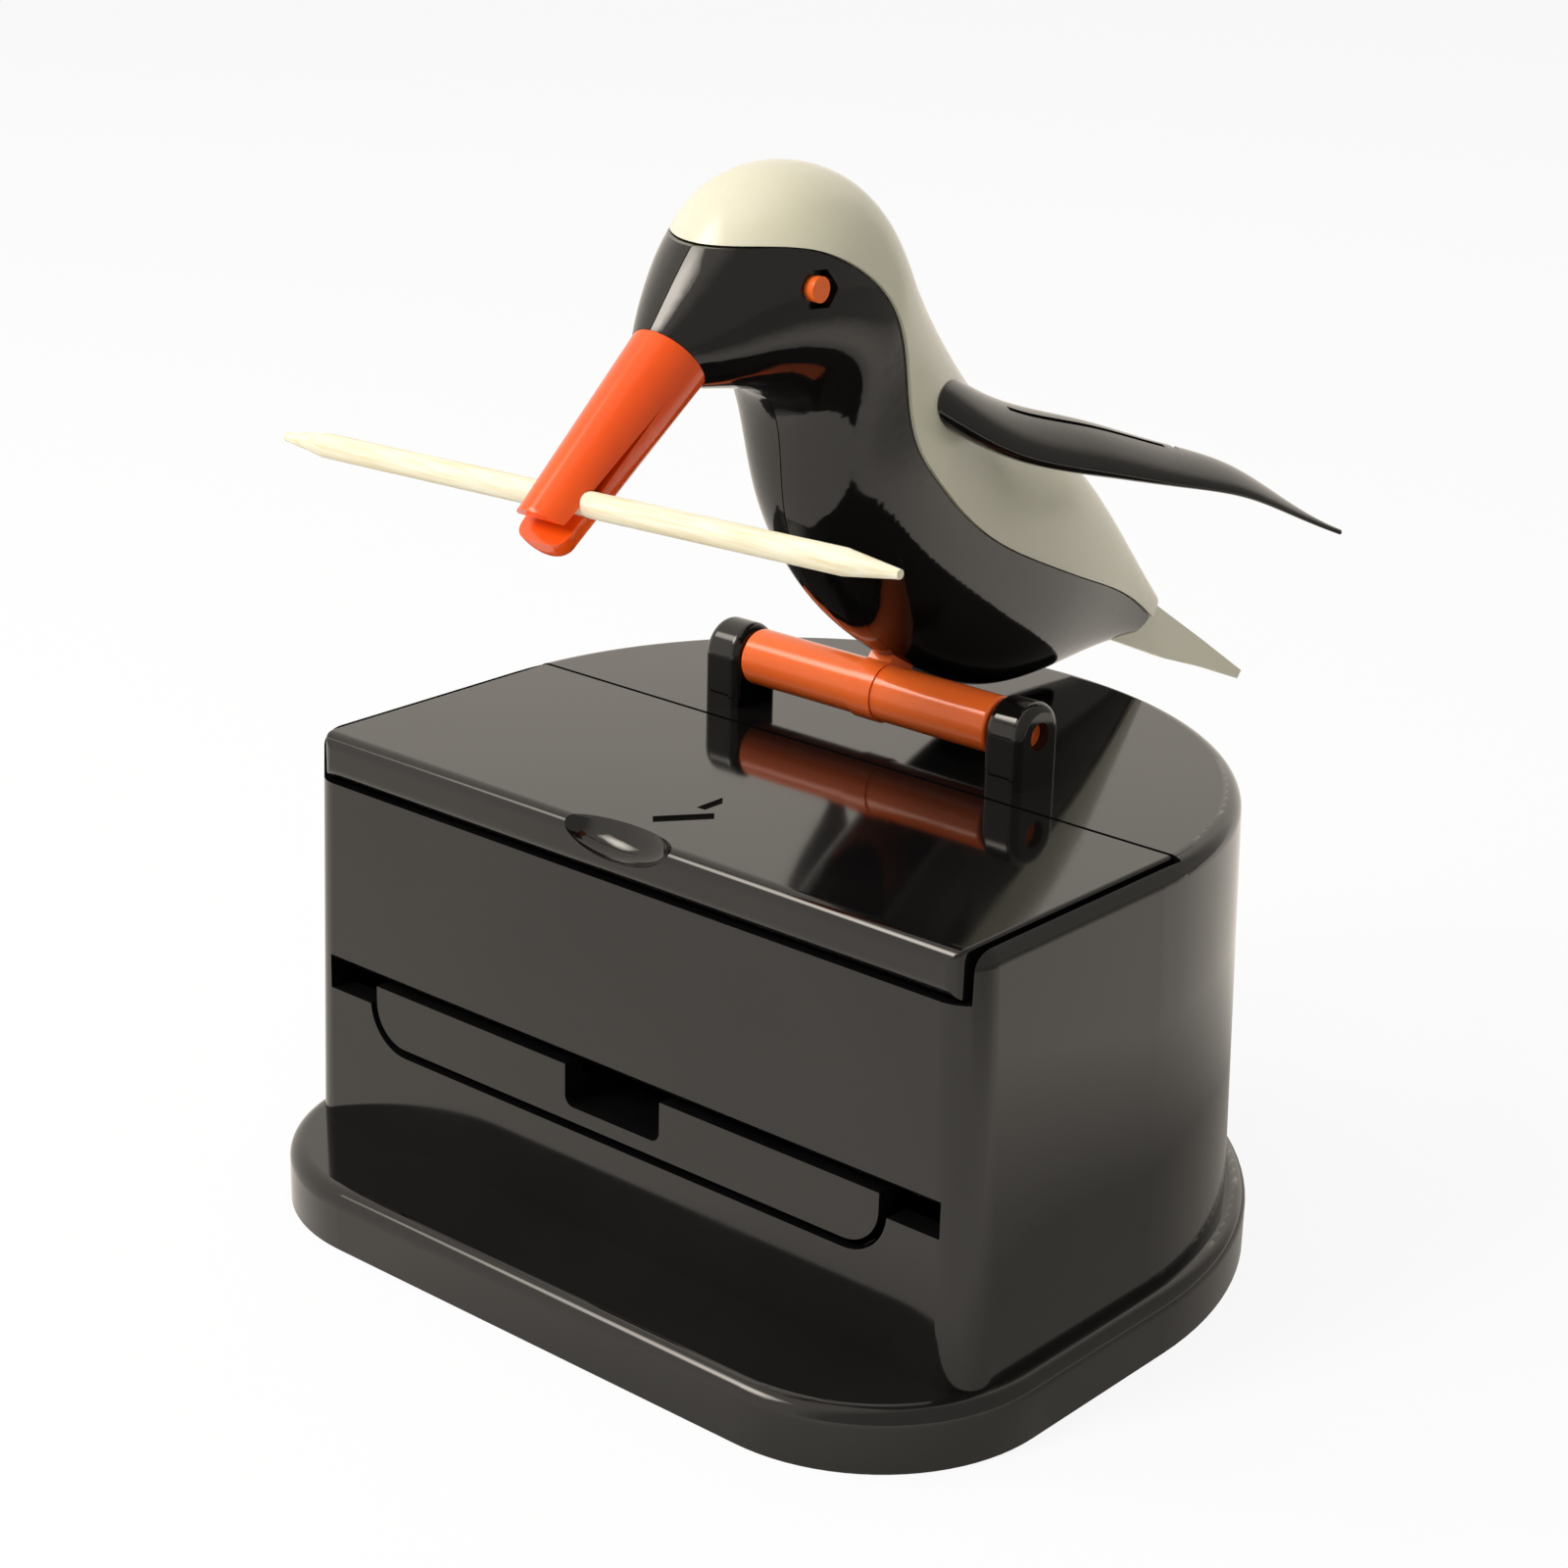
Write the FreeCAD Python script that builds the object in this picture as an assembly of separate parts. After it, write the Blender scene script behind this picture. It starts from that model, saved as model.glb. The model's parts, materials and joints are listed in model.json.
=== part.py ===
import FreeCAD, Part
import math
import os
from FreeCAD import Vector

# Toothpick dispenser: a tilting bird on a D-shaped box. Millimetres, +Z up, front towards -Y.
# The origin is on the table, under the middle of the plinth.

over = 1.0                    # cutting bodies run this far past what they cut
beyond = 80.0                 # further than any piece reaches
touch = 0.01                  # two levels this close are the same

# ---- box ----
body_width = 73.0             # across the foot of the walls
side_taper = 1.1              # each side draws in by this much up to the deck
front_y = -26.0               # front face of the box
straight_depth = 23.8         # front face to the centre of the half-round rear
wall = 2.2
corner_radius = 3.0
plinth_height = 5.2
plinth_step = 9.65            # how far the plinth stands out in front
plinth_margin = 1.8           # and at the sides and the rear
plinth_corner = 16.0
plinth_edge = 1.4
plinth_floor = 2.0
plinth_rim = 4.0              # seat for the chute inside the walls
deck_height = 40.7
deck_thickness = 2.6
rim_round = 1.6

# ---- lid ----
lid_margin = 1.4              # rim beside the lid
lid_rear = 26.6               # front face to the lid's rear edge
lid_thickness = 2.4
lid_gap = 0.4
rim_gap = 0.7                 # between the lid's sides and the rim
lid_edge = 1.2
lid_side_edge = 0.3
lid_seat = 0.1
flange_drop = 4.0
flange_thickness = 2.0
flange_gap = 0.2
lid_travel = 3.0              # slide that frees the tongue, so that the lid lifts off
tongue_half = 20.0            # tongue at the lid's rear, held under the deck
tongue_thickness = 0.9
tongue_gap = 0.2
scoop_half = 5.6
scoop_depth = 2.3
scoop_drop = 2.4
scoop_setback = 0.2
arrow_length = 7.0            # arrow towards the front, the way the lid slides open
arrow_head = 3.9
arrow_width = 6.0
arrow_shaft = 2.2
arrow_height = 0.25
arrow_setback = 4.5

# ---- outlet slot and tray ----
slot_margin = 2.0             # wall left beside the slot
slot_top = 20.1
slot_bottom = 17.6
panel_margin = 5.8            # end of the panel to the end of the slot
panel_top = 19.4
panel_bottom = 14.5
panel_corner = 3.4
panel_gap = 0.8
notch_half = 5.2
notch_corner = 0.9
tray_floor = 1.3
tray_depth = 20.0
tray_wall = 2.0
saddle_depth = 4.6            # block behind the panel that carries one toothpick
saddle_top = 18.6
slot_bevel = 0.6
rail_gap = 0.1
rail_inset = 6.1              # end of the panel to the middle of a rail
rail_width = 4.0
rail_setback = 0.5
rail_length = 27.0

# ---- hopper chute ----
chute_gap = 0.4
chute_thickness = 1.6
chute_lip = 18.8              # height of the chute's front lip
chute_setback = 9.6           # front face to the lip, clear of the tray's saddle
chute_back = 27.0             # front face to the hopper's back wall
chute_rise = 10.0             # fall of the ramp from the back wall to the lip
cheek_thickness = 1.4

# ---- toothpick ----
pick_length = 65.0
pick_radius = 1.0
pick_tip_radius = 0.35
pick_taper = 5.0
pick_skew = -2.1              # degrees, as it sits in the beak
pick_tilt = 2.3

# ---- perch ----
perch_setback = 32.0          # front face to the perch axis
perch_rise = 4.25             # deck to the perch axis
bar_radius = 2.45
bar_edge = 0.3
journal_radius = 1.1
journal_gap = 0.06
journal_setback = 0.8         # journals end this far inside the posts
collar_radius = 2.6
collar_width = 2.4
tab_width = 2.4               # lug of the bar inside the bird
tab_length = 7.0
tab_depth = 3.0
tab_lean = 40.0               # degrees; the lug points from the bar into the middle of the belly
post_inner = 13.4
post_thickness = 3.7
post_depth = 5.6
post_gap = 0.2
post_edge = 0.8
spring_wire = 0.45
spring_radius = 1.55
spring_turns = 2.5
spring_pitch = 0.6
spring_pocket = 2.2

# ---- screws ----
base_screw_radius = 1.45
base_screw_length = 9.0
base_head_radius = 2.8
base_head_height = 1.8
base_recess = 0.4             # screw heads sit this far inside the flat underside
boss_radius = 3.5
boss_bite = 0.3               # bosses run this far into the walls
boss_top = 12.5
boss_roof = 1.2               # solid top over each screw hole
rear_boss_angle = 50.0
post_screw_radius = 0.95
post_screw_length = 4.8
post_head_radius = 1.8
post_head_height = 1.2
screw_gap = 0.1
recess_width = 0.9            # cross recess in every head
recess_depth = 0.7
recess_share = 0.6            # of the head's radius

# ---- bird ----
ring_count = 12               # poles round each section
bird_setback = 31.0           # front face to the zero of the bird's own coordinates
bird_rise = 4.6               # deck to the same zero
shell = 1.7
back_proud = 0.3              # the cream back stands this much over the black front
cap_setback = 1.0             # and starts this far behind the top edge of the face
seam_gap = 0.1
peg_radius = 1.0
peg_root = 1.0
peg_length = 2.0
peg_room = 0.4
peg_boss_radius = 2.0
eye_radius = 1.0
eye_fit = 0.03
eye_recess = 1.65             # across the corners, halved
eye_recess_depth = 0.7
eye_proud = 0.15
eye_depth = 1.5
tail_thickness = 1.4
tail_tip_y = 57.0
spigot_radius = 2.0
spigot_length = 4.0
spigot_room = 1.5

# Side view of the bird: belly point, back point, half width.
stations = [
    ((-23.27, 29.39), (-27.39, 34.43), 3.25),
    ((-17.6, 28.5), (-23.9, 39.0), 6.1),
    ((-14.8, 27.6), (-17.1, 44.4), 8.1),
    ((-13.3, 26.3), (-8.1, 44.0), 8.8),
    ((-12.3, 23.1), (-1.9, 37.3), 8.3),
    ((-11.4, 17.0), (4.0, 30.0), 7.9),
    ((-7.4, 9.9), (11.7, 22.9), 7.2),
    ((1.1, 2.9), (22.1, 17.4), 6.3),
    ((15.2, -3.1), (30.0, 11.5), 4.8),
    ((28.7, -3.4), (36.0, 5.3), 2.7),
    ((37.6, -3.6), (41.5, -0.6), 1.2),
]
# Line where the cream back meets the black front, drawn past both ends.
parting = [(-30.0, 40.2), (-22.5, 40.2), (-17.3, 40.1), (-13.6, 38.5), (-10.2, 35.8), (-7.6, 31.8),
           (-6.4, 27.4), (-4.8, 23.2), (-1.6, 19.6), (2.6, 16.0), (8.2, 12.4), (15.6, 9.0),
           (24.0, 5.6), (32.0, 2.4), (37.6, -0.6), (41.6, -3.4), (46.0, -7.0)]
tail_outline = [(30.0, 3.0), (36.4, 4.0), (41.5, -1.4), (49.6, -6.5), (57.0, -11.3),
                (56.4, -12.0), (50.0, -9.4), (43.6, -7.1), (34.0, -3.0)]
eye_place = (-17.1, 37.2)
peg_places = [(-7.0, 20.5), (17.0, 3.6)]

# ---- beak ----
beak_root = (-25.33, 31.91)
beak_slope = 39.3             # degrees below level
beak_length = 18.0
beak_radius = 3.22            # at the root
beak_tip_radius = 2.48
beak_nose = 1.3
mouth_start = 4.4             # root to the end of the slit between the jaws
mouth_rise = 0.45
mouth_width = 1.1             # at the tip
mouth_drop = 0.1
upper_tip = 16.4              # root to the end of the upper jaw
upper_lean = 1.2              # the upper jaw's blunt end leans forward by this
pick_place = (-36.2, 23.1)
pick_gap = 0.05

# ---- wings ----
wing_root = (7.0, -2.0)       # across, and behind the perch axis
wing_splay = 32.4             # degrees from the centre line
wing_length = 36.8
wing_roll = 12.0              # degrees; the inner edge stands higher
# Along the wing, middle of the chord (inward), height, half chord, half thickness.
wing_sections = [
    (-4.0, 3.2, 29.1, 3.4, 1.9),
    (0.0, 2.5, 26.8, 3.8, 1.85),
    (7.0, 1.95, 23.1, 4.7, 1.6),
    (14.0, 1.3, 21.4, 4.55, 1.45),
    (21.0, 0.8, 19.75, 3.8, 1.0),
    (27.0, 0.5, 18.15, 2.9, 0.7),
    (32.0, 0.3, 15.6, 1.3, 0.37),
    (36.8, 0.0, 13.3, 0.35, 0.2),
]
feather_notch = [(23.3, 6.0), (22.3, 0.4), (21.9, 6.0)]
groove_line = [(7.3, 2.1), (21.2, 2.1)]
groove_width = 0.8
groove_depth = 0.5
tenon_inner = 3.0             # ends of the tenon, along the wing from its second section
tenon_outer = 5.5
tenon_width = 3.2
tenon_thickness = 1.6
tenon_room = 0.3
fit_gap = 0.1

# ---- places worked out from the above ----
body_half = body_width / 2
deck_half = body_half - side_taper
inner_half = body_half - wall
centre_y = front_y + straight_depth
lid_half = deck_half - lid_margin
slot_half = deck_half - slot_margin
panel_half = slot_half - panel_margin
rail_x = panel_half - rail_inset
lid_rear_y = front_y + lid_rear
tongue_length = lid_travel - 2 * tongue_gap
perch_y = front_y + perch_setback
perch_z = deck_height + perch_rise
perch = Vector(0, perch_y, perch_z)
bird_zero = Vector(0, front_y + bird_setback, deck_height + bird_rise)
post_outer = post_inner + post_thickness
post_radius = post_depth / 2
tray_floor_z = panel_bottom + tray_floor
pick_y = front_y + tray_wall + pick_radius
base_seat = base_recess + base_head_height


def half_at(z):
    """Half width of the tapered walls at a height."""
    return body_half - side_taper * (z - plinth_height) / (deck_height - plinth_height)


boss_reach = half_at(boss_top) - wall - boss_radius + boss_bite
boss_front = front_y + wall + boss_radius - boss_bite
rear_turn = math.radians(rear_boss_angle)
boss_spots = [(side * boss_reach, boss_front) for side in (-1, 1)]
boss_spots += [(side * boss_reach * math.sin(rear_turn), centre_y + boss_reach * math.cos(rear_turn))
               for side in (-1, 1)]


def box(x0, x1, y0, y1, z0, z1):
    return Part.makeBox(x1 - x0, y1 - y0, z1 - z0, Vector(x0, y0, z0))


def rod(radius, start, end):
    along = end - start
    return Part.makeCylinder(radius, along.Length, start, along)


def d_face(half, front, corner, z):
    """Flat D: straight front with rounded corners, straight sides and a half-round rear."""
    turn = corner * (1 - math.sqrt(0.5))
    left_rear, right_rear = Vector(-half, centre_y, z), Vector(half, centre_y, z)
    left_front, right_front = Vector(-half, front + corner, z), Vector(half, front + corner, z)
    front_left, front_right = Vector(corner - half, front, z), Vector(half - corner, front, z)
    edges = [
        Part.LineSegment(left_rear, left_front).toShape(),
        Part.Arc(left_front, Vector(turn - half, front + turn, z), front_left).toShape(),
        Part.LineSegment(front_left, front_right).toShape(),
        Part.Arc(front_right, Vector(half - turn, front + turn, z), right_front).toShape(),
        Part.LineSegment(right_front, right_rear).toShape(),
        Part.Arc(right_rear, Vector(0, centre_y + half, z), left_rear).toShape(),
    ]
    return Part.Face(Part.Wire(edges))


def d_block(half, front, corner, z0, z1):
    return d_face(half, front, corner, z0).extrude(Vector(0, 0, z1 - z0))


def d_taper(inset, front, corner, z0, z1):
    """D-shaped block that follows the taper of the walls, inset from their outside."""
    low, high = half_at(z0) - inset, half_at(z1) - inset
    corners = [Vector(-low, front, z0), Vector(low, front, z0),
               Vector(high, front, z1), Vector(-high, front, z1)]
    block = Part.Face(Part.makePolygon(corners + corners[:1])).extrude(Vector(0, centre_y - front, 0))
    upright = edges_where(block, lambda b: b.ZLength > (z1 - z0) / 2 and b.YMax < front + touch)
    rear = Part.makeCone(low, high, z1 - z0, Vector(0, centre_y, z0), Vector(0, 0, 1), 180)
    return block.makeFillet(corner, upright).fuse(rear).removeSplitter()


def edges_where(shape, test):
    return [edge for edge in shape.Edges if test(edge.BoundBox)]


def level(z):
    return lambda b: abs(b.ZMin - z) < touch and abs(b.ZMax - z) < touch


def side_prism(points, half, about=None):
    """Side-view polygon in Y and Z, as wide as half to each side of the centre plane."""
    base = about or Vector(0, 0, 0)
    corners = [base + Vector(-half, y, z) for y, z in points]
    return Part.Face(Part.makePolygon(corners + corners[:1])).extrude(Vector(2 * half, 0, 0))


def curve_through(points):
    curve = Part.BSplineCurve()
    curve.interpolate(points)
    return curve.toShape()


def mirrored(shape):
    return shape.mirror(Vector(0, 0, 0), Vector(1, 0, 0))


def pan_screw(seat, direction, shank_radius, length, head_radius, head_height):
    """Screw whose head rests on seat and whose shank runs along direction, with a cross recess."""
    head_end = seat - direction * head_height
    screw = rod(shank_radius, seat, seat + direction * length).fuse(rod(head_radius, head_end, seat))
    for turn in (0, 90):
        reach = head_radius * recess_share
        slot = box(-reach, reach, -recess_width / 2, recess_width / 2, 0, recess_depth)
        slot.rotate(Vector(0, 0, 0), Vector(0, 0, 1), turn)
        slot.translate(head_end)
        screw = screw.cut(slot)
    return screw.removeSplitter()


# ---------------------------------------------------------------- box
def make_plinth():
    half = body_half + plinth_margin
    plinth = d_block(half, front_y - plinth_step, plinth_corner, 0, plinth_height)
    plinth = plinth.makeFillet(plinth_edge, edges_where(plinth, level(plinth_height)))
    pocket_half = inner_half - plinth_rim
    pocket = d_block(pocket_half, front_y + wall + plinth_rim, corner_radius, plinth_floor,
                     plinth_height + over)
    plinth = plinth.cut(pocket)
    for x, y in boss_spots:
        plinth = plinth.fuse(rod(boss_radius, Vector(x, y, 0), Vector(x, y, plinth_height)))
    for x, y in boss_spots:
        hole = rod(base_screw_radius + screw_gap, Vector(x, y, 0), Vector(x, y, plinth_height + over))
        counterbore = rod(base_head_radius + screw_gap, Vector(x, y, 0), Vector(x, y, base_seat))
        plinth = plinth.cut(hole).cut(counterbore)
    rail_top = panel_bottom - rail_gap
    for side in (-1, 1):
        x = side * rail_x
        rail_front = front_y + wall + plinth_rim + rail_setback
        rail = box(x - rail_width / 2, x + rail_width / 2, rail_front, rail_front + rail_length,
                   plinth_floor / 2, rail_top)
        plinth = plinth.fuse(rail)
    return plinth.removeSplitter()


def slot_cut():
    """Opening in the front wall: a full-width slot for the toothpick over a deeper hole for the tray."""
    front, back = front_y - over, front_y + wall + over
    wide = box(-slot_half, slot_half, front, back, slot_bottom, slot_top)
    half, low = panel_half + panel_gap, panel_bottom - panel_gap
    deep = box(-half, half, front, back, low, slot_top)
    round_edges = edges_where(deep, lambda b: b.YLength > wall and b.ZMax < low + touch)
    deep = deep.makeFillet(panel_corner + panel_gap, round_edges)
    bevel_y, bevel_z = front_y + slot_bevel, slot_top + slot_bevel
    bevel = side_prism([(front, slot_top), (bevel_y, slot_top), (front_y, bevel_z), (front, bevel_z)],
                       slot_half)
    return wide.fuse(deep).fuse(bevel)


def make_housing():
    outer = d_taper(0, front_y, corner_radius, plinth_height, deck_height)
    outer = outer.makeFillet(rim_round, edges_where(outer, level(deck_height)))
    inner = d_taper(wall, front_y + wall, corner_radius - wall, plinth_height - over,
                    deck_height - deck_thickness)
    housing = outer.cut(inner)
    open_half, open_rear = lid_half + rim_gap, lid_rear_y + lid_gap
    ledge = deck_height - lid_thickness - lid_seat
    inner_top = deck_half - wall
    above = deck_height + over
    housing = housing.cut(box(-open_half, open_half, front_y + wall, open_rear, ledge, above))
    housing = housing.cut(box(-inner_top, inner_top, front_y + wall, open_rear, ledge - over, above))
    flange_low = deck_height - flange_drop - flange_gap
    housing = housing.cut(box(-open_half, open_half, front_y - over, front_y + wall, flange_low, above))
    rebate_half = tongue_half + tongue_gap
    rebate_rear = lid_rear_y + tongue_length + tongue_gap
    rebate_top = deck_height - lid_thickness + tongue_thickness + tongue_gap
    housing = housing.cut(box(-rebate_half, rebate_half, lid_rear_y, rebate_rear, ledge - over, rebate_top))
    for x, y in boss_spots:
        housing = housing.fuse(rod(boss_radius, Vector(x, y, plinth_height), Vector(x, y, boss_top)))
        housing = housing.cut(rod(base_screw_radius + screw_gap / 2, Vector(x, y, plinth_height - over),
                                  Vector(x, y, boss_top - boss_roof)))
    housing = housing.cut(slot_cut())
    under = deck_height - deck_thickness
    for side in (-1, 1):
        x = side * (post_inner + post_thickness / 2)
        housing = housing.cut(rod(post_screw_radius + screw_gap, Vector(x, perch_y, under - over),
                                  Vector(x, perch_y, above)))
    return housing.removeSplitter()


def make_hopper_chute():
    lip_y, back_y = front_y + chute_setback, front_y + chute_back
    rear_y = back_y + chute_thickness
    top = deck_height - deck_thickness - lid_gap
    turn_z = chute_lip + chute_rise
    ramp = [(lip_y, chute_lip), (back_y, turn_z), (back_y, top), (rear_y, top),
            (rear_y, turn_z - chute_thickness), (lip_y, chute_lip - chute_thickness)]
    chute = side_prism(ramp, body_half)
    cheek_y = lip_y + chute_thickness
    cheek = [(lip_y, chute_lip - chute_thickness / 2), (rear_y, turn_z - chute_thickness / 2),
             (rear_y, plinth_height), (cheek_y, plinth_height), (cheek_y, panel_bottom),
             (lip_y, panel_bottom + chute_thickness)]
    cheek_x = half_at(turn_z) - wall - chute_gap - cheek_thickness / 2
    for side in (-1, 1):
        chute = chute.fuse(side_prism(cheek, cheek_thickness / 2, Vector(side * cheek_x, 0, 0)))
    room = d_taper(wall + chute_gap, front_y + wall + chute_gap, cheek_thickness / 2, plinth_height, top)
    return chute.common(room).removeSplitter()


def make_outlet_tray():
    front, back = front_y, front_y + tray_wall
    panel = box(-panel_half, panel_half, front, back, panel_bottom, panel_top)
    low_edges = edges_where(panel, lambda b: b.YLength > tray_wall / 2 and b.ZMax < panel_bottom + touch)
    panel = panel.makeFillet(panel_corner, low_edges)
    floor_half = panel_half - panel_corner
    floor_front = front + tray_wall / 2
    tray = panel.fuse(box(-floor_half, floor_half, floor_front, front + tray_depth,
                          panel_bottom, tray_floor_z))
    saddle = box(-floor_half, floor_half, back, back + saddle_depth, panel_bottom, saddle_top)
    groove = rod(pick_radius + fit_gap, Vector(-panel_half, pick_y + fit_gap, saddle_top),
                 Vector(panel_half, pick_y + fit_gap, saddle_top))
    tray = tray.fuse(saddle.cut(groove))
    notch = box(-notch_half, notch_half, front - over, back + saddle_depth + over,
                tray_floor_z, panel_top + over)
    low_corners = edges_where(notch, lambda b: b.YLength > tray_wall and b.ZMax < tray_floor_z + touch)
    tray = tray.cut(notch.makeFillet(notch_corner, low_corners))
    return tray.removeSplitter()


def make_lid():
    """Flat lid with a front flange and a rear tongue that slides forward from under the deck."""
    top, under = deck_height, deck_height - lid_thickness
    lid = box(-lid_half, lid_half, front_y, lid_rear_y, under, top)
    lid = lid.fuse(box(-lid_half, lid_half, front_y, front_y + flange_thickness, top - flange_drop, top))
    lid = lid.removeSplitter()
    front_edges = edges_where(lid, lambda b: b.XLength > lid_half and b.YMax < front_y + touch)
    upright = edges_where(lid, lambda b: b.ZLength > flange_drop - touch and b.YMax < front_y + touch)
    lid = lid.makeFillet(lid_edge, front_edges + upright)
    side_edges = edges_where(lid, lambda b: level(top)(b) and b.YLength > lid_rear / 2 and b.XLength < touch)
    lid = lid.makeFillet(lid_side_edge, side_edges)
    lid = lid.fuse(box(-tongue_half, tongue_half, lid_rear_y, lid_rear_y + tongue_length,
                       under, under + tongue_thickness))
    scoop = Part.makeSphere(1.0)
    stretch = FreeCAD.Matrix()
    stretch.scale(scoop_half, scoop_depth, scoop_drop)
    scoop = scoop.transformGeometry(stretch)
    scoop.translate(Vector(0, front_y + scoop_setback, top))
    lid = lid.cut(scoop)
    shaft = arrow_shaft / 2
    outline = [(0, 0), (arrow_width / 2, arrow_head), (shaft, arrow_head), (shaft, arrow_length),
               (-shaft, arrow_length), (-shaft, arrow_head), (-arrow_width / 2, arrow_head)]
    corners = [Vector(x, front_y + arrow_setback + y, top - arrow_height) for x, y in outline]
    arrow = Part.Face(Part.makePolygon(corners + corners[:1])).extrude(Vector(0, 0, 2 * arrow_height))
    return lid.fuse(arrow).removeSplitter()


# ---------------------------------------------------------------- perch
def make_post(side):
    near, far = sorted((side * post_inner, side * post_outer))
    block = box(near, far, perch_y - post_radius, perch_y + post_radius, deck_height, perch_z)
    cap = rod(post_radius, Vector(near, perch_y, perch_z), Vector(far, perch_y, perch_z))
    post = block.fuse(cap).removeSplitter()
    rim = edges_where(post, lambda b: b.XLength < touch and b.ZLength > touch)
    post = post.makeFillet(post_edge, rim)
    post = post.cut(rod(journal_radius + journal_gap, Vector(near - over, perch_y, perch_z),
                        Vector(far + over, perch_y, perch_z)))
    if side < 0:
        pocket = Vector(-post_inner - spring_pocket, perch_y, perch_z)
        mouth = Vector(over - post_inner, perch_y, perch_z)
        post = post.cut(rod(spring_radius + spring_wire / 2 + fit_gap, pocket, mouth))
    x = side * (post_inner + post_thickness / 2)
    top = deck_height + post_screw_length - deck_thickness
    post = post.cut(rod(post_screw_radius + screw_gap / 2, Vector(x, perch_y, deck_height - over),
                        Vector(x, perch_y, top + post_gap)))
    return post


def make_return_spring():
    length = spring_turns * spring_pitch
    helix = Part.makeHelix(spring_pitch, length, spring_radius)
    start = Vector(spring_radius, 0, 0)
    circle = Part.Wire(Part.Circle(start, Vector(0, 1, 0), spring_wire / 2).toShape())
    coil = Part.Wire(helix).makePipeShell([circle], True, True)
    coil.rotate(Vector(0, 0, 0), Vector(0, 1, 0), 90)
    coil.translate(Vector(-post_inner - length - spring_wire / 2 - fit_gap, perch_y, perch_z))
    return coil


def make_perch_bar():
    reach = post_inner - post_gap
    bar = rod(bar_radius, Vector(-reach, perch_y, perch_z), Vector(reach, perch_y, perch_z))
    bar = bar.makeFillet(bar_edge, edges_where(bar, lambda b: b.XLength < touch))
    journal_reach = Vector(post_outer - journal_setback, 0, 0)
    collar_reach = Vector(collar_width / 2, 0, 0)
    bar = bar.fuse(rod(journal_radius, perch - journal_reach, perch + journal_reach))
    bar = bar.fuse(rod(collar_radius, perch - collar_reach, perch + collar_reach))
    return bar.fuse(lug_box(0, tab_length + collar_radius)).removeSplitter()


def make_screws(spots, direction, shank, length, head, head_height):
    screws = [pan_screw(Vector(*spot), direction, shank, length, head, head_height) for spot in spots]
    return Part.makeCompound(screws)


# ---------------------------------------------------------------- bird
def ring_poles(middle, across, up):
    """Poles of a closed curve close to the ellipse with these two half axes."""
    swell = 6 / (4 + 2 * math.cos(2 * math.pi / ring_count))
    turns = [2 * math.pi * k / ring_count for k in range(ring_count)]
    return [middle + across * (swell * math.cos(t)) + up * (swell * math.sin(t)) for t in turns]


def bird_rings(sections, grow):
    rings = []
    for front, back, half in sections:
        low, high = bird_zero + Vector(0, *front), bird_zero + Vector(0, *back)
        up = (high - low).normalize() * ((high - low).Length / 2 + grow)
        rings.append(ring_poles((low + high) * 0.5, Vector(half + grow, 0, 0), up))
    return rings


def lofted(rings):
    """Smooth solid through a row of rings, closed by a flat face at each end."""
    spans = [sum((a - b).Length for a, b in zip(one, other)) for one, other in zip(rings, rings[1:])]
    steps = [sum(spans[:k]) / sum(spans) for k in range(len(rings))]
    columns = []
    for k in range(ring_count):
        curve = Part.BSplineCurve()
        curve.interpolate(Points=[one[k] for one in rings], Parameters=steps)
        columns.append(curve)
    poles = [[column.getPole(row) for column in columns] for row in range(1, columns[0].NbPoles + 1)]
    surface = Part.BSplineSurface()
    surface.buildFromPolesMultsKnots(poles, columns[0].getMultiplicities(), [1] * (ring_count + 1),
                                     columns[0].getKnots(), list(range(ring_count + 1)), False, True, 3, 3)
    side = surface.toShape()
    ends = [edge for edge in side.Edges if edge.isClosed()]
    caps = [Part.Face(Part.Wire([edge])) for edge in ends]
    skin = Part.makeShell([side] + caps)
    skin.sewShape()
    return Part.makeSolid(skin)


def back_sections():
    """The sections of the cream back, whose cap starts behind the face's top edge."""
    moved = [((front[0] + cap_setback, front[1]), (back[0] + cap_setback, back[1]), half)
             for front, back, half in stations[:2]]
    return moved + stations[2:]


def parting_solid(side):
    """Everything above the parting line (side 1) or below it (side -1), half a seam away."""
    points = [bird_zero + Vector(-beyond, y, z + side * seam_gap / 2) for y, z in parting]
    first, last = points[0], points[-1]
    far_z = perch_z + side * beyond
    corners = [last, Vector(first.x, last.y + beyond, last.z), Vector(first.x, last.y + beyond, far_z),
               Vector(first.x, first.y - beyond, far_z), Vector(first.x, first.y - beyond, first.z), first]
    rest = Part.makePolygon(corners)
    return Part.Face(Part.Wire([curve_through(points)] + rest.Edges)).extrude(Vector(2 * beyond, 0, 0))


def peg_spots():
    return [bird_zero + Vector(0, *spot) for spot in peg_places]


def eye_point(outer):
    """Where the eye's cross axis leaves the right side of the head."""
    axis_start = bird_zero + Vector(0, *eye_place)
    line = Part.makeLine(axis_start, axis_start + Vector(beyond, 0, 0))
    return outer.common(line).BoundBox.XMax


def lug_box(gap, length):
    """The bar's lug, or with a gap the room for it, from the perch axis into the belly."""
    lug = box(-tab_width / 2 - gap, tab_width / 2 + gap, -tab_depth / 2 - gap, tab_depth / 2 + gap, 0, length)
    lug.rotate(Vector(0, 0, 0), Vector(1, 0, 0), -tab_lean)
    lug.translate(perch)
    return lug


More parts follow.
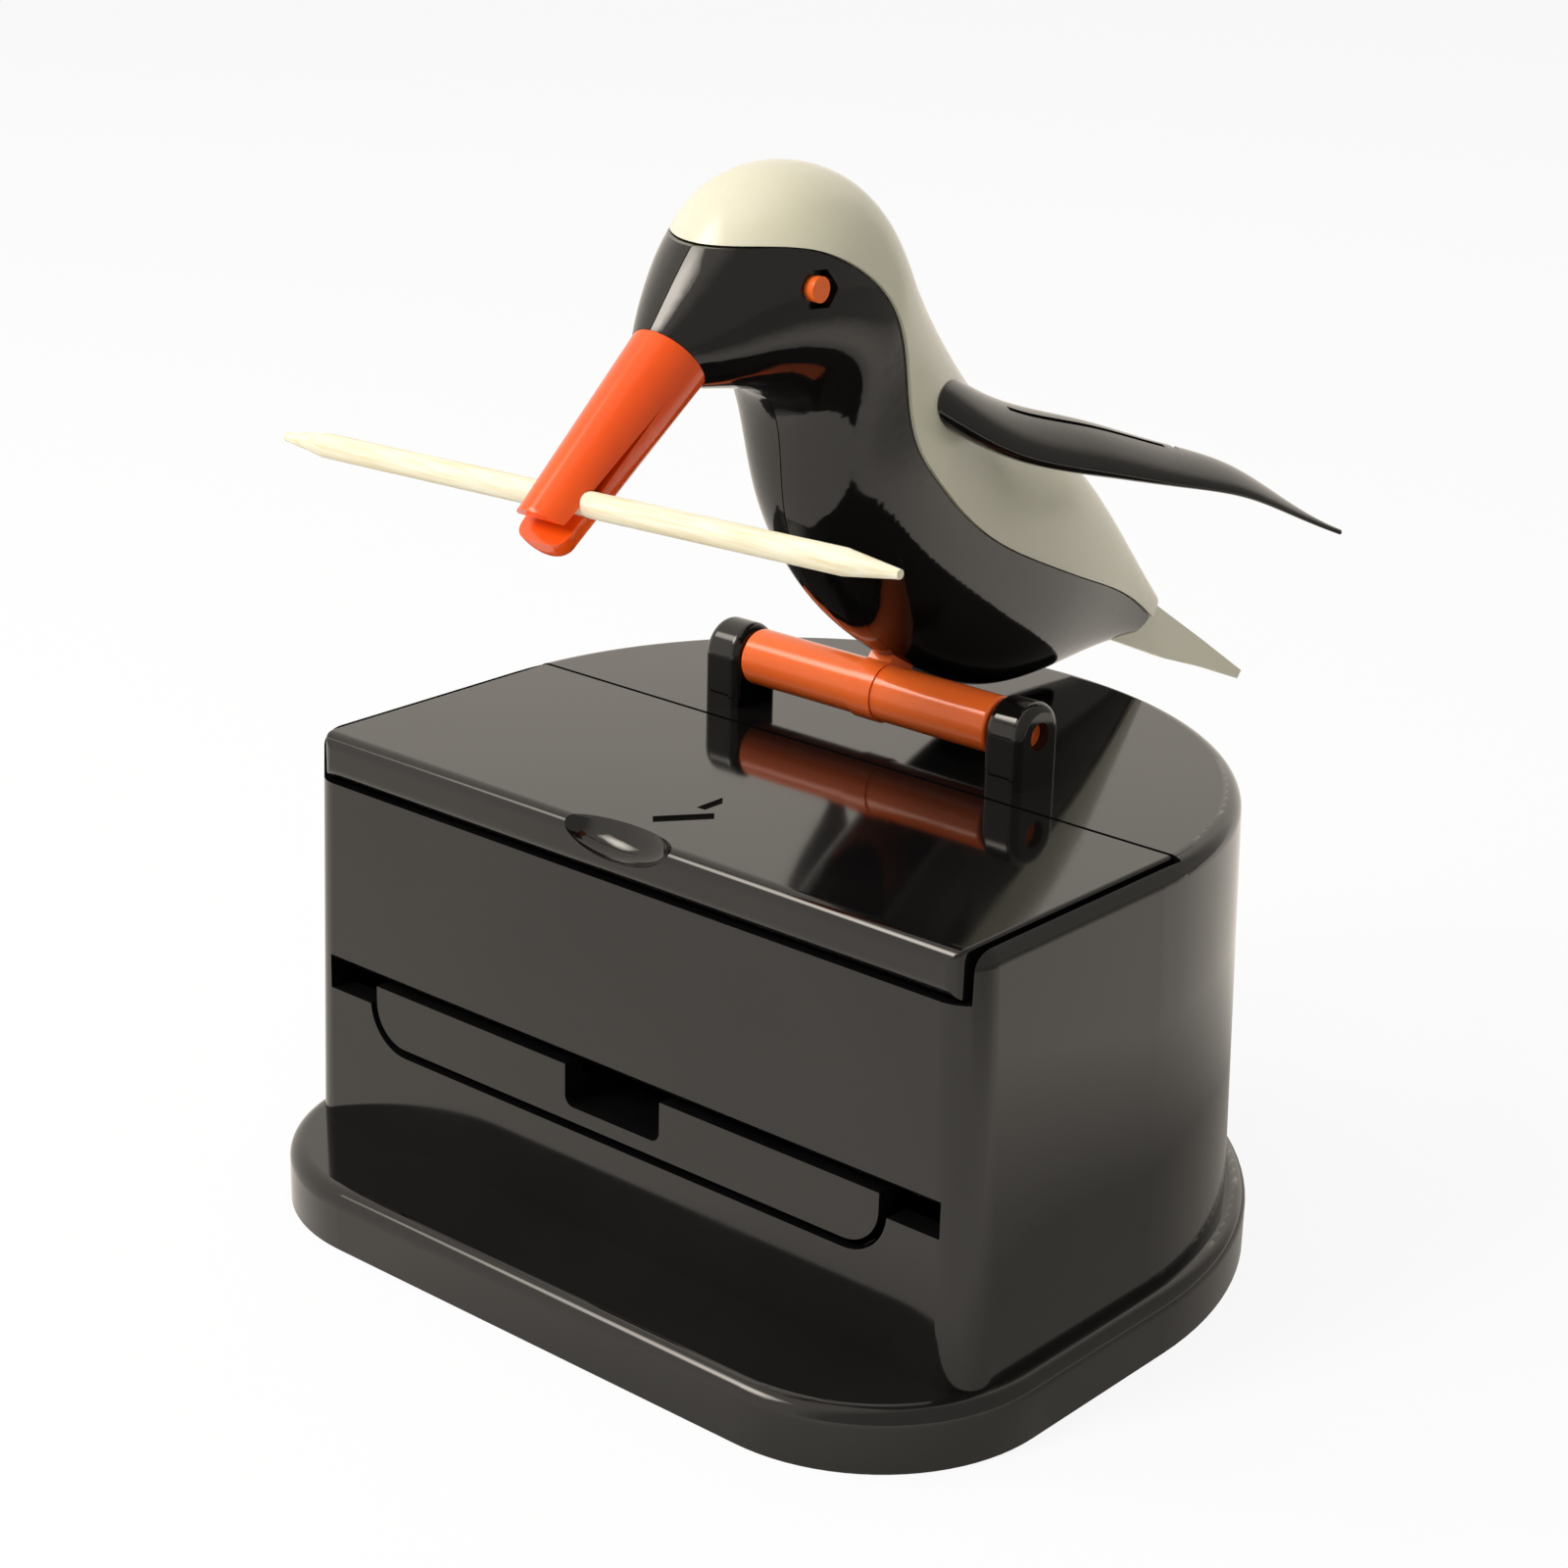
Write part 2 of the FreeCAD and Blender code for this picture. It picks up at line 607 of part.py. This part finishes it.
def front_half(side, black, tail_room, outer, eye_x):
    """One half of the black front, with its eye recess and its share of the joining pegs."""
    near = side * seam_gap / 2
    left, right = sorted((near, side * beyond))
    half = black.cut(tail_room).common(box(left, right, perch_y - beyond, perch_y + beyond,
                                           perch_z - beyond, perch_z + beyond))
    eye_axis = bird_zero + Vector(0, *eye_place)
    turns = [k * math.pi / 3 for k in range(7)]
    corners = [eye_axis + Vector(side * (eye_x + over), eye_recess * math.cos(t), eye_recess * math.sin(t))
               for t in turns]
    recess = Part.Face(Part.makePolygon(corners)).extrude(Vector(-side * (over + eye_recess_depth), 0, 0))
    hole = rod(eye_radius + eye_fit, eye_axis + Vector(side * (eye_x - eye_depth - fit_gap), 0, 0),
               eye_axis + Vector(side * (eye_x + over), 0, 0))
    half = half.cut(recess).cut(hole)
    for spot in peg_spots():
        boss = rod(peg_boss_radius, spot + Vector(near, 0, 0), spot + Vector(side * beyond, 0, 0))
        half = half.fuse(boss.common(outer).common(parting_solid(-1)))
        if side > 0:
            half = half.cut(rod(peg_radius + fit_gap, spot, spot + Vector(peg_length + peg_room, 0, 0)))
        else:
            half = half.fuse(rod(peg_radius, spot - Vector(peg_root, 0, 0), spot + Vector(peg_length, 0, 0)))
    return half.removeSplitter()


def make_eye_pegs(eye_x):
    axis = bird_zero + Vector(0, *eye_place)
    inner_end, outer_end = Vector(eye_x - eye_depth, 0, 0), Vector(eye_x + eye_proud, 0, 0)
    pegs = [rod(eye_radius, axis + inner_end * side, axis + outer_end * side) for side in (-1, 1)]
    return Part.makeCompound(pegs)


def make_bird(outer, inner, wing_room, eye_x):
    """The two halves of the black front and the cream back with its tail."""
    spigot_hole = rod(spigot_radius + fit_gap, beak_point(over), beak_point(-spigot_length - spigot_room))
    hollow = outer.cut(inner).cut(spigot_hole)
    proud = lofted(bird_rings(back_sections(), back_proud)).cut(inner).cut(spigot_hole)
    neck_reach, bar_reach = Vector(collar_width / 2 + fit_gap, 0, 0), Vector(post_inner, 0, 0)
    neck = rod(collar_radius + fit_gap, perch - neck_reach, perch + neck_reach)
    room = rod(bar_radius + fit_gap, perch - bar_reach, perch + bar_reach)
    lug_room = lug_box(fit_gap, tab_length + collar_radius + over)
    black = hollow.common(parting_solid(-1)).cut(lug_room).cut(neck).cut(room)
    tail = side_prism(tail_outline, tail_thickness / 2, bird_zero)
    tail_room = side_prism(tail_outline, tail_thickness / 2 + seam_gap, bird_zero)
    back = proud.common(parting_solid(1)).fuse(tail.cut(inner)).removeSplitter()
    rooms = wing_room.fuse(mirrored(wing_room))
    left, right = [front_half(side, black, tail_room, outer, eye_x).cut(rooms) for side in (-1, 1)]
    return left, right, back.cut(rooms)


def beak_point(along, rise=0.0):
    """Point of the beak's middle plane, from its root along its axis and above it."""
    slope = math.radians(beak_slope)
    y = beak_root[0] - along * math.cos(slope) - rise * math.sin(slope)
    z = beak_root[1] - along * math.sin(slope) + rise * math.cos(slope)
    return bird_zero + Vector(0, y, z)


def make_beak():
    """One moulding, slit from the tip into an upper jaw and a longer tongue that nip the toothpick."""
    axis = beak_point(beak_length) - beak_point(0.0)
    beak = Part.makeCone(beak_radius, beak_tip_radius, beak_length, beak_point(0.0), axis)
    middle_z = beak_point(beak_length / 2).z
    tip = [edge for edge in beak.Edges if edge.BoundBox.ZMax < middle_z and edge.isClosed()]
    beak = beak.makeFillet(beak_nose, tip)
    far = beak_length + over
    high = beak_radius + over
    slit = beak_prism([(mouth_start, mouth_rise), (far, mouth_width - mouth_drop), (far, -mouth_drop)])
    blunt = beak_prism([(upper_tip, 0.0), (upper_tip + upper_lean, high), (far, high), (far, 0.0)])
    pick_bore = rod(pick_radius + pick_gap, *pick_line(beak_radius + over))
    beak = beak.cut(slit).cut(blunt).cut(pick_bore)
    beak = beak.fuse(rod(spigot_radius, beak_point(over), beak_point(-spigot_length)))
    return beak.removeSplitter()


def beak_prism(outline):
    """Prism right through the beak, drawn along its axis and above it."""
    corners = [beak_point(*place) - Vector(beak_radius + over, 0, 0) for place in outline]
    return Part.Face(Part.makePolygon(corners + corners[:1])).extrude(Vector(2 * (beak_radius + over), 0, 0))


def pick_line(reach):
    """Two points of the toothpick's axis, this far to either side of the beak."""
    place = bird_zero + Vector(0, *pick_place)
    along = FreeCAD.Rotation(Vector(0, 0, 1), pick_skew) * FreeCAD.Rotation(Vector(0, 1, 0), -pick_tilt)
    step = along.multVec(Vector(reach, 0, 0))
    return place - step, place + step


def make_toothpick():
    middle = pick_length / 2
    shaft = middle - pick_taper
    pick = Part.makeCylinder(pick_radius, 2 * shaft, Vector(-shaft, 0, 0), Vector(1, 0, 0))
    for side in (-1, 1):
        base, outward = Vector(side * shaft, 0, 0), Vector(side, 0, 0)
        cone = Part.makeCone(pick_radius, pick_tip_radius, pick_taper, base, outward)
        pick = pick.fuse(cone)
    pick = pick.removeSplitter()
    pick.rotate(Vector(0, 0, 0), Vector(0, 1, 0), -pick_tilt)
    pick.rotate(Vector(0, 0, 0), Vector(0, 0, 1), pick_skew)
    pick.translate(bird_zero + Vector(0, *pick_place))
    return pick


def wing_rings(sections, lower):
    """Lens-shaped sections across the wing, square to its arch, in the wing's own frame."""
    rings = []
    for k, (s, chord, height, half_chord, half_thick) in enumerate(sections):
        before, after = sections[max(k - 1, 0)], sections[min(k + 1, len(sections) - 1)]
        pitch = math.degrees(math.atan2(after[2] - before[2], after[0] - before[0]))
        turn = FreeCAD.Rotation(Vector(0, 1, 0), -pitch) * FreeCAD.Rotation(Vector(1, 0, 0), wing_roll)
        middle = Vector(s, chord, height - lower)
        across, up = Vector(0, half_chord, 0), Vector(0, 0, half_thick)
        rings.append(ring_poles(middle, turn.multVec(across), turn.multVec(up)))
    return rings


def upright_prism(outline):
    """Tall prism over an outline drawn along the wing and across it."""
    corners = [Vector(*place, 0) for place in outline]
    return Part.Face(Part.makePolygon(corners + corners[:1])).extrude(Vector(0, 0, beyond))


def tenon_box(gap, room):
    """Tenon that follows the slope of the wing's root, or with a gap the socket for it."""
    near, far = wing_sections[1], wing_sections[2]
    half_width, half_thick = tenon_width / 2 + gap, tenon_thickness / 2 + gap
    tenon = box(-tenon_inner - room, tenon_outer + gap, -half_width, half_width, -half_thick, half_thick)
    slope = math.degrees(math.atan2(near[2] - far[2], far[0] - near[0]))
    tenon.rotate(Vector(0, 0, 0), Vector(0, 1, 0), slope)
    tenon.translate(Vector(*near[:3]))
    return tenon


def make_wing():
    """Drooping blade with a notch between two feathers and a groove along its inner edge."""
    (start, start_y), (end, end_y) = groove_line
    half_groove = groove_width / 2
    strip = upright_prism([(start, start_y - half_groove), (end, end_y - half_groove),
                           (end, end_y + half_groove), (start, start_y + half_groove)])
    lowered = lofted(wing_rings(wing_sections, groove_depth))
    raised = lofted(wing_rings(wing_sections, -groove_depth))
    blade = lofted(wing_rings(wing_sections, 0)).cut(upright_prism(feather_notch))
    blade = blade.cut(strip.common(raised).cut(lowered))
    tenon, room = tenon_box(0, 0), tenon_box(fit_gap, tenon_room)
    for shape in (blade, tenon, room):
        shape.rotate(Vector(0, 0, 0), Vector(0, 0, 1), 90 - wing_splay)
        shape.translate(bird_zero + Vector(*wing_root, 0))
    wing = blade.cut(lofted(bird_rings(stations, back_proud + fit_gap))).fuse(tenon)
    return max(wing.Solids, key=lambda solid: solid.Volume), room


def build():
    nodes = {}
    nodes["plinth"] = make_plinth()
    nodes["housing"] = make_housing()
    nodes["hopper_chute"] = make_hopper_chute()
    nodes["outlet_tray"] = make_outlet_tray()
    nodes["lid"] = make_lid()
    nodes["post_left"] = make_post(-1)
    nodes["post_right"] = make_post(1)
    nodes["return_spring"] = make_return_spring()
    nodes["perch_bar"] = make_perch_bar()
    base_spots = [(x, y, base_seat) for x, y in boss_spots]
    nodes["base_screws"] = make_screws(base_spots, Vector(0, 0, 1), base_screw_radius, base_screw_length,
                                       base_head_radius, base_head_height)
    post_x = post_inner + post_thickness / 2
    post_spots = [(side * post_x, perch_y, deck_height - deck_thickness) for side in (-1, 1)]
    nodes["post_screws"] = make_screws(post_spots, Vector(0, 0, 1), post_screw_radius, post_screw_length,
                                       post_head_radius, post_head_height)
    outer = lofted(bird_rings(stations, 0))
    inner = lofted(bird_rings(stations[1:-2], -shell))
    wing, wing_room = make_wing()
    eye_x = eye_point(outer)
    left, right, back = make_bird(outer, inner, wing_room, eye_x)
    nodes["bird_front_left"] = left
    nodes["bird_front_right"] = right
    nodes["bird_back"] = back
    nodes["wing_right"] = wing
    nodes["wing_left"] = mirrored(wing)
    nodes["beak"] = make_beak()
    nodes["eye_pegs"] = make_eye_pegs(eye_x)
    nodes["toothpick"] = make_toothpick()
    return nodes


os.makedirs("parts", exist_ok=True)
for name, shape in build().items():
    print(name, "valid" if shape.isValid() else "INVALID", len(shape.Solids), round(shape.Volume, 1))
    shape.exportStep("parts/" + name + ".step")
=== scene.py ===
import json
import math

import bpy
from mathutils import Matrix, Vector

mm = 0.001
white = "#ffffff"


def srgb(text):  # hex colour to linear, for every colour here
    parts = [int(text[k:k + 2], 16) / 255 for k in (1, 3, 5)]
    return [v / 12.92 if v <= 0.04045 else ((v + 0.055) / 1.055) ** 2.4 for v in parts] + [1.0]


def addNode(tree, kind, place, settings=None, links=None):  # one node, its settings and what feeds it
    node = tree.nodes.new(kind)
    node.location = place
    for name, value in (settings or {}).items():
        if isinstance(name, int) or name in node.inputs:
            node.inputs[name].default_value = value
        else:
            setattr(node, name, value)
    for name, source in (links or {}).items():
        tree.links.new(source, node.inputs[name])
    return node


def newTree(name):  # a named material with its node tree and shader
    material = bpy.data.materials.new(name)
    material.use_nodes = True
    return material, material.node_tree, material.node_tree.nodes["Principled BSDF"]


def newFinish(name):  # a material whose patterns follow the object's own millimetres
    material, tree, shader = newTree(name)
    coords = addNode(tree, "ShaderNodeTexCoord", (-1200, 0)).outputs["Object"]
    return material, tree, shader, coords


def setShader(shader, values):
    for name, value in values.items():
        shader.inputs[name].default_value = value


def cloudOf(tree, place, coords, size, detail):  # soft noise with patches of the given size in millimetres
    noise = addNode(tree, "ShaderNodeTexNoise", place, {"Scale": 1 / (size * mm), "Detail": detail},
                    {"Vector": coords})
    return noise.outputs["Fac"]


def twoTone(tree, place, source, first, second):  # blends from one (position, hex colour) stop to the other
    ramp = addNode(tree, "ShaderNodeValToRGB", place, links={"Fac": source})
    for element, (position, colour) in zip(ramp.color_ramp.elements, (first, second)):
        element.position, element.color = position, srgb(colour)
    return ramp.outputs["Color"]


def rampValue(tree, place, source, edges, levels):  # turns the source between two edges into a level
    ramp = addNode(tree, "ShaderNodeMapRange", place,
                   {"From Min": edges[0], "From Max": edges[1], "To Min": levels[0], "To Max": levels[1]},
                   {"Value": source})
    return ramp.outputs["Result"]


print("stage: frame")
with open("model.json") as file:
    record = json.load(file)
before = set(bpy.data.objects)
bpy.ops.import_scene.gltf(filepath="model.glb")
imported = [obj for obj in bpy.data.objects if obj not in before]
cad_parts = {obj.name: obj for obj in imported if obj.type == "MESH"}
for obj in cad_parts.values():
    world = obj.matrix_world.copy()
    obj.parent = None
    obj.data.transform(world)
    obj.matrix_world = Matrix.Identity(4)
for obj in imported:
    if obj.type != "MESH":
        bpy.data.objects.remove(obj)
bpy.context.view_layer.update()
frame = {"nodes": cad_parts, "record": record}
nodes = frame["nodes"]

print("stage: materials")
gloss = {"name": "mouldedBlackAbs", "colour": "#0d0c0c", "worn": "#141312", "toneEdges": (0.35, 0.75),
         "roughness": 0.07, "sheenEdges": (0.3, 0.8), "sheenShares": (0.8, 1.5), "ior": 1.54,
         "smudgeSize": 14, "smudgeDetail": 4.0,
         "rippleSize": 9, "rippleDetail": 1.0, "rippleHeight": 0.004, "rippleStrength": 0.5}


# injection-moulded ABS off a polished tool: black depth, mirror-like sheen, faint flow ripple
def makeBlackAbs():
    material, tree, shader, coords = newFinish(gloss["name"])
    smudge = cloudOf(tree, (-900, 200), coords, gloss["smudgeSize"], gloss["smudgeDetail"])
    tone = twoTone(tree, (-600, 200), smudge, (gloss["toneEdges"][0], gloss["colour"]),
                   (gloss["toneEdges"][1], gloss["worn"]))
    sheen = rampValue(tree, (-600, -60), smudge, gloss["sheenEdges"],
                      [gloss["roughness"] * share for share in gloss["sheenShares"]])
    ripple = cloudOf(tree, (-900, -300), coords, gloss["rippleSize"], gloss["rippleDetail"])
    bump = addNode(tree, "ShaderNodeBump", (-600, -300),
                   {"Strength": gloss["rippleStrength"], "Distance": gloss["rippleHeight"] * mm},
                   {"Height": ripple})
    tree.links.new(tone, shader.inputs["Base Color"])
    tree.links.new(sheen, shader.inputs["Roughness"])
    tree.links.new(bump.outputs["Normal"], shader.inputs["Normal"])
    setShader(shader, {"IOR": gloss["ior"]})
    return material


cream = {"name": "mouldedCreamAbs", "colour": "#e2ddc5", "deep": "#dad3b6", "cloudSize": 18,
         "cloudDetail": 3.0, "roughness": 0.16, "ior": 1.5, "milk": 0.15, "milkDepth": (0.6, 0.5, 0.35)}
beakOrange = {"name": "mouldedBeakAbs", "colour": "#fb5a14", "deep": "#f25010", "cloudSize": 10,
              "cloudDetail": 2.0, "roughness": 0.16, "ior": 1.5, "milk": 0.1, "milkDepth": (0.8, 0.3, 0.15)}
barOrange = dict(beakOrange, name="mouldedOrangeAbs", colour="#ff7430", deep="#fb6822", roughness=0.14)
tintEdges = (0.3, 0.8)


def makeTintedAbs(plastic):  # coloured ABS, slightly milky, with a soft gloss
    material, tree, shader, coords = newFinish(plastic["name"])
    cloud = cloudOf(tree, (-900, 200), coords, plastic["cloudSize"], plastic["cloudDetail"])
    tone = twoTone(tree, (-600, 200), cloud, (tintEdges[0], plastic["colour"]),
                   (tintEdges[1], plastic["deep"]))
    tree.links.new(tone, shader.inputs["Base Color"])
    setShader(shader, {"Roughness": plastic["roughness"], "IOR": plastic["ior"],
                       "Subsurface Weight": plastic["milk"], "Subsurface Scale": 1.0,
                       "Subsurface Radius": [depth * mm for depth in plastic["milkDepth"]]})
    return material


birch = {"name": "turnedBirch", "pale": "#f7f0d8", "grain": "#e6d4a6", "toneEdges": (0.35, 0.75),
         "roughness": 0.55, "ior": 1.45, "grainWidth": 0.22, "grainLength": 16, "grainDetail": 5.0,
         "grainHeight": 0.03, "grainStrength": 0.5}


def makeBirch():  # bare turned birch: pale, matt, fine grain along the stick
    material, tree, shader, coords = newFinish(birch["name"])
    along, across = 1 / (birch["grainLength"] * mm), 1 / (birch["grainWidth"] * mm)
    stretch = addNode(tree, "ShaderNodeMapping", (-1000, 0), {"Scale": (along, across, across)},
                      {"Vector": coords})
    streak = addNode(tree, "ShaderNodeTexNoise", (-800, 0), {"Scale": 1.0, "Detail": birch["grainDetail"]},
                     {"Vector": stretch.outputs["Vector"]}).outputs["Fac"]
    tone = twoTone(tree, (-560, 100), streak, (birch["toneEdges"][0], birch["pale"]),
                   (birch["toneEdges"][1], birch["grain"]))
    bump = addNode(tree, "ShaderNodeBump", (-560, -260),
                   {"Strength": birch["grainStrength"], "Distance": birch["grainHeight"] * mm},
                   {"Height": streak})
    tree.links.new(tone, shader.inputs["Base Color"])
    tree.links.new(bump.outputs["Normal"], shader.inputs["Normal"])
    setShader(shader, {"Roughness": birch["roughness"], "IOR": birch["ior"]})
    return material


steel = {"name": "zincPlatedSteel", "colour": "#b9bcc0", "dull": "#8f9296", "toneEdges": (0.3, 0.8),
         "roughness": 0.35, "grit": 0.5, "gritDetail": 3.0}


def makeSteel():  # zinc-plated screw steel, lightly mottled
    material, tree, shader, coords = newFinish(steel["name"])
    mottle = cloudOf(tree, (-900, 200), coords, steel["grit"], steel["gritDetail"])
    tone = twoTone(tree, (-600, 200), mottle, (steel["toneEdges"][0], steel["colour"]),
                   (steel["toneEdges"][1], steel["dull"]))
    tree.links.new(tone, shader.inputs["Base Color"])
    setShader(shader, {"Roughness": steel["roughness"], "Metallic": 1.0})
    return material


finishes = {"black_plastic": makeBlackAbs(), "cream_plastic": makeTintedAbs(cream),
            "beak_plastic": makeTintedAbs(beakOrange), "bar_plastic": makeTintedAbs(barOrange),
            "birch_wood": makeBirch(), "screw_steel": makeSteel()}
for part in frame["record"]["subparts"]:
    node = nodes[part["node"]]
    node.data.materials.clear()
    node.data.materials.append(finishes[part["material_slot"]])

print("stage: studio")
floor = {"size": 3.0, "drop": 0.05, "paper": "#f4f4f2", "roughness": 0.9, "seen": 0.9,
         "shadeCentre": (0.020, 0.015, 0), "shadeRadii": (0.036, 0.066), "shadeLevels": (0.36, 1.0),
         "rightShadeEdges": (0.10, 0.17), "rightShadeLevels": (1.0, 0.35)}
bounce = "#fff6ea"  # warm white of all that the glossy surfaces mirror


def makeFloor():  # white sweep that keeps the shadow; in reflections its glow carries painted shade, darker near the object and towards the right
    bpy.ops.object.select_all(action="DESELECT")
    bpy.ops.mesh.primitive_plane_add(size=floor["size"], location=(0, 0, -floor["drop"] * mm))
    sweep = bpy.context.object
    sweep.name = "studioFloor"
    material, tree, shader = newTree("paperSweep")
    setShader(shader, {"Base Color": srgb(floor["paper"]), "Roughness": floor["roughness"]})
    place = addNode(tree, "ShaderNodeTexCoord", (-900, 200)).outputs["Object"]
    radius = addNode(tree, "ShaderNodeVectorMath", (-700, 200),
                     {"operation": "DISTANCE", 1: floor["shadeCentre"]}, {0: place})
    # painted shade: the glow that reflections see is dimmed near the object
    level = rampValue(tree, (-500, 200), radius.outputs["Value"], floor["shadeRadii"], floor["shadeLevels"])
    # painted shade: the glow that reflections see is darker towards the right
    across = addNode(tree, "ShaderNodeSeparateXYZ", (-700, -50), links={"Vector": place})
    rightShade = rampValue(tree, (-500, -50), across.outputs["X"], floor["rightShadeEdges"], floor["rightShadeLevels"])
    both = addNode(tree, "ShaderNodeMath", (-300, 100), {"operation": "MULTIPLY"}, {0: level, 1: rightShade})
    path = addNode(tree, "ShaderNodeLightPath", (-700, 600))
    seenPart = addNode(tree, "ShaderNodeMath", (-300, 600), {"operation": "MULTIPLY", 1: floor["seen"]},
                       {0: path.outputs["Is Camera Ray"]})
    glowPart = addNode(tree, "ShaderNodeMath", (-100, 600), {"operation": "MAXIMUM"},
                       {0: seenPart.outputs["Value"], 1: path.outputs["Is Glossy Ray"]})
    seen = addNode(tree, "ShaderNodeEmission", (-100, 400), {"Color": srgb(white), "Strength": 1.0})
    mirrored = addNode(tree, "ShaderNodeEmission", (-100, 200), {"Color": srgb(bounce)},
                       {"Strength": both.outputs["Value"]})
    glow = addNode(tree, "ShaderNodeMixShader", (100, 300),
                   links={0: path.outputs["Is Glossy Ray"], 1: seen.outputs[0], 2: mirrored.outputs[0]})
    mix = addNode(tree, "ShaderNodeMixShader", (300, 200),
                  links={0: glowPart.outputs["Value"], 1: shader.outputs[0], 2: glow.outputs[0]})
    tree.links.new(mix.outputs[0], tree.nodes["Material Output"].inputs["Surface"])
    sweep.data.materials.append(material)


room = {"shade": 0.3, "open": 1.0, "sideEdges": (-0.05, 0.25), "sideLevels": (1.0, 0.45)}


def makeWorld():  # white to the eye, dim as a light; in reflections a warm white room, darker to the right
    world = bpy.data.worlds.new("studioWorld")
    bpy.context.scene.world = world
    world.use_nodes = True
    tree = world.node_tree
    plain = tree.nodes["Background"]
    path = addNode(tree, "ShaderNodeLightPath", (-700, 300))
    seen = addNode(tree, "ShaderNodeMath", (-500, 300), {"operation": "MAXIMUM"},
                   {0: path.outputs["Is Camera Ray"], 1: path.outputs["Is Transmission Ray"]})
    level = rampValue(tree, (-300, 300), seen.outputs["Value"], (0.0, 1.0), (room["shade"], room["open"]))
    plain.inputs["Color"].default_value = srgb(white)
    tree.links.new(level, plain.inputs["Strength"])
    direction = addNode(tree, "ShaderNodeTexCoord", (-900, -200)).outputs["Generated"]
    across = addNode(tree, "ShaderNodeSeparateXYZ", (-700, -200), links={"Vector": direction})
    side = rampValue(tree, (-500, -200), across.outputs["X"], room["sideEdges"], room["sideLevels"])
    mirrored = addNode(tree, "ShaderNodeBackground", (-100, -200), {"Color": srgb(bounce)},
                       {"Strength": side})
    mix = addNode(tree, "ShaderNodeMixShader", (100, 100),
                  links={0: path.outputs["Is Glossy Ray"], 1: plain.outputs[0], 2: mirrored.outputs[0]})
    tree.links.new(mix.outputs[0], tree.nodes["World Output"].inputs["Surface"])


keyCard = {"azimuth": -42, "elevation": 45, "distance": 0.7, "height": 0.05, "size": (0.43, 0.27),
           "glowRadii": (0.15, 0.55), "glowLevels": (12.0, 3.0)}


def towards(azimuth, elevation):  # unit direction; azimuth, in radians, runs from the front to the right
    return Vector((math.sin(azimuth) * math.cos(elevation), -math.cos(azimuth) * math.cos(elevation),
                   math.sin(elevation)))


def makeKeyCard():  # the key softbox as shiny surfaces see it, brightest in its middle
    out = towards(math.radians(keyCard["azimuth"]), math.radians(keyCard["elevation"]))
    spot = out * keyCard["distance"] + Vector((0, 0, keyCard["height"]))
    bpy.ops.object.select_all(action="DESELECT")
    facing = (-out).to_track_quat("Z", "Y").to_euler()
    bpy.ops.mesh.primitive_plane_add(size=1, location=spot, rotation=facing)
    card = bpy.context.object
    card.name = "keyCard"
    card.scale = (*keyCard["size"], 1)
    card.visible_camera = card.visible_diffuse = card.visible_shadow = card.visible_transmission = False
    material, tree, _ = newTree("softboxCloth")
    place = addNode(tree, "ShaderNodeTexCoord", (-700, 0)).outputs["Object"]
    radius = addNode(tree, "ShaderNodeVectorMath", (-500, 0), {"operation": "LENGTH"}, {0: place})
    level = rampValue(tree, (-300, 0), radius.outputs["Value"], keyCard["glowRadii"], keyCard["glowLevels"])
    glow = addNode(tree, "ShaderNodeEmission", (-100, 0), {"Color": srgb(bounce)}, {"Strength": level})
    tree.links.new(glow.outputs[0], tree.nodes["Material Output"].inputs["Surface"])
    card.data.materials.append(material)


lamps = [
    {"name": "topSoftbox", "place": (-0.08, 0.0, 0.75), "aim": (0, 0, 0.04), "size": 0.5, "power": 1.4},
    {"name": "keySoftbox", "place": (-0.18, -0.52, 0.50), "aim": (0, 0, 0.05), "size": 0.22, "power": 3.0},
    {"name": "edgeSoftbox", "place": (-0.46, -0.22, 0.53), "aim": (0, 0, 0.04), "size": 0.25, "power": 1.2},
]


def makeLamps():  # they light the matt share only; what shines is left to the card and the room
    for lamp in lamps:
        data = bpy.data.lights.new(lamp["name"], "AREA")
        data.energy = lamp["power"]
        data.size = lamp["size"]
        light = bpy.data.objects.new(lamp["name"], data)
        light.location = lamp["place"]
        light.visible_glossy = False
        aim = Vector(lamp["aim"]) - Vector(lamp["place"])
        light.rotation_euler = aim.to_track_quat("-Z", "Y").to_euler()
        bpy.context.scene.collection.objects.link(light)


camera = {"azimuth": 40.38, "elevation": 19.99, "roll": 1.47, "distance": 0.2643,
          "target": (-0.00042, -0.0052, 0.0393), "lens": 73.63, "sensor": 36, "nearest": 0.01}


def makeCamera():
    azimuth, elevation, roll = (math.radians(camera[k]) for k in ("azimuth", "elevation", "roll"))
    back = towards(azimuth, elevation)
    right = Vector((math.cos(azimuth), math.sin(azimuth), 0))
    up = back.cross(right)
    turnedRight = right * math.cos(roll) + up * math.sin(roll)
    turnedUp = up * math.cos(roll) - right * math.sin(roll)
    data = bpy.data.cameras.new("mainCamera")
    data.lens = camera["lens"]
    data.sensor_width = camera["sensor"]
    data.clip_start = camera["nearest"]
    view = bpy.data.objects.new("mainCamera", data)
    turn = Matrix((turnedRight, turnedUp, back)).transposed().to_4x4()
    view.matrix_world = Matrix.Translation(Vector(camera["target"]) + back * camera["distance"]) @ turn
    bpy.context.scene.collection.objects.link(view)
    bpy.context.scene.camera = view


makeFloor()
makeWorld()
makeKeyCard()
makeLamps()
makeCamera()
bpy.context.scene.view_settings.view_transform = "Standard"

print("stage: sizes")
